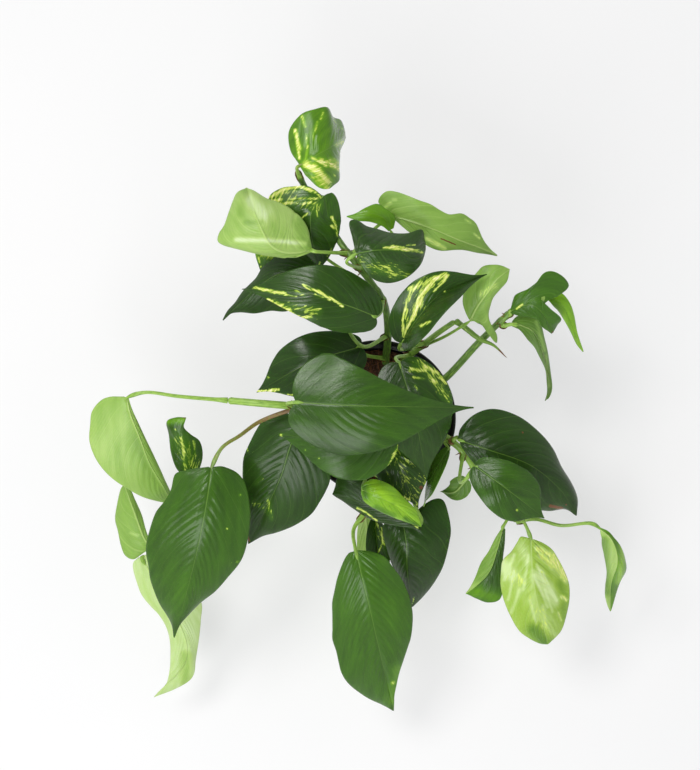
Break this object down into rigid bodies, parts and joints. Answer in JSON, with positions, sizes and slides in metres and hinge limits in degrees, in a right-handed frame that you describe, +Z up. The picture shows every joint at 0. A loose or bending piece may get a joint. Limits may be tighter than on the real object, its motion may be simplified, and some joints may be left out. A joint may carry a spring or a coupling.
{
  "type": "potted pothos plant",
  "caption": "Trailing houseplant with heart-shaped, partly variegated leaves on long vines that climb out of a round black nursery pot of soil and hang over its rim.",
  "frame": {"origin": "centre of the pot's flat underside, on the surface it stands on", "axes": "+Z up out of the pot; +X and +Y are right and up in a view from straight above, as in the picture"},
  "size_m": [0.4097, 0.4604, 0.2175],
  "materials": {
    "pot": "smooth matt black plastic",
    "soil": "loose coir and bark potting mix",
    "stem": "smooth green stem",
    "leaf_dark": "waxy, semi-gloss",
    "leaf_green": "waxy, semi-gloss",
    "leaf_young": "waxy, glossy",
    "leaf_variegated": "waxy, semi-gloss, with cream streaks",
    "leaf_underside": "satin underside turned up"
  },
  "bodies": {
    "root": {"pot": "pot", "soil": "soil", "vine_north": "stem", "vine_northeast": "stem", "vine_east": "stem", "vine_west": "stem", "vine_southwest": "stem", "vine_south": "stem", "vine_south_short": "stem", "vine_southeast": "stem", "leaf_heart": "leaf_green", "leaf_under_heart": "leaf_green", "leaf_east_rim": "leaf_dark", "leaf_west_rim": "leaf_dark", "leaf_southwest_dark": "leaf_dark", "leaf_southwest_big": "leaf_green", "leaf_west_pale": "leaf_underside", "leaf_west_small": "leaf_variegated", "leaf_west_low": "leaf_underside", "leaf_west_trailing": "leaf_underside", "leaf_south_front": "leaf_green", "leaf_south_dark": "leaf_dark", "leaf_south_rim": "leaf_dark", "leaf_south_young": "leaf_young", "leaf_south_speckled": "leaf_dark", "leaf_south_hidden": "leaf_variegated", "leaf_south_low": "leaf_underside", "leaf_east_edge": "leaf_green", "leaf_east_under": "leaf_underside", "leaf_east_big": "leaf_dark", "leaf_east_green": "leaf_green", "leaf_southeast_light": "leaf_variegated", "leaf_southeast_fold": "leaf_underside", "leaf_southeast_end": "leaf_green", "leaf_north_end": "leaf_variegated", "leaf_north_pale": "leaf_underside", "leaf_north_streaked": "leaf_variegated", "leaf_north_hidden": "leaf_variegated", "leaf_northwest_dark": "leaf_dark", "leaf_northwest_streaked": "leaf_dark", "leaf_north_round": "leaf_dark", "leaf_north_young": "leaf_young", "leaf_north_light": "leaf_underside", "leaf_northeast_streaked": "leaf_variegated", "leaf_northeast_pale": "leaf_underside", "leaf_east_top": "leaf_dark", "leaf_east_young": "leaf_young", "leaf_east_hanging": "leaf_green", "leaf_northeast_rolled": "leaf_young"}
  },
  "joints": []
}
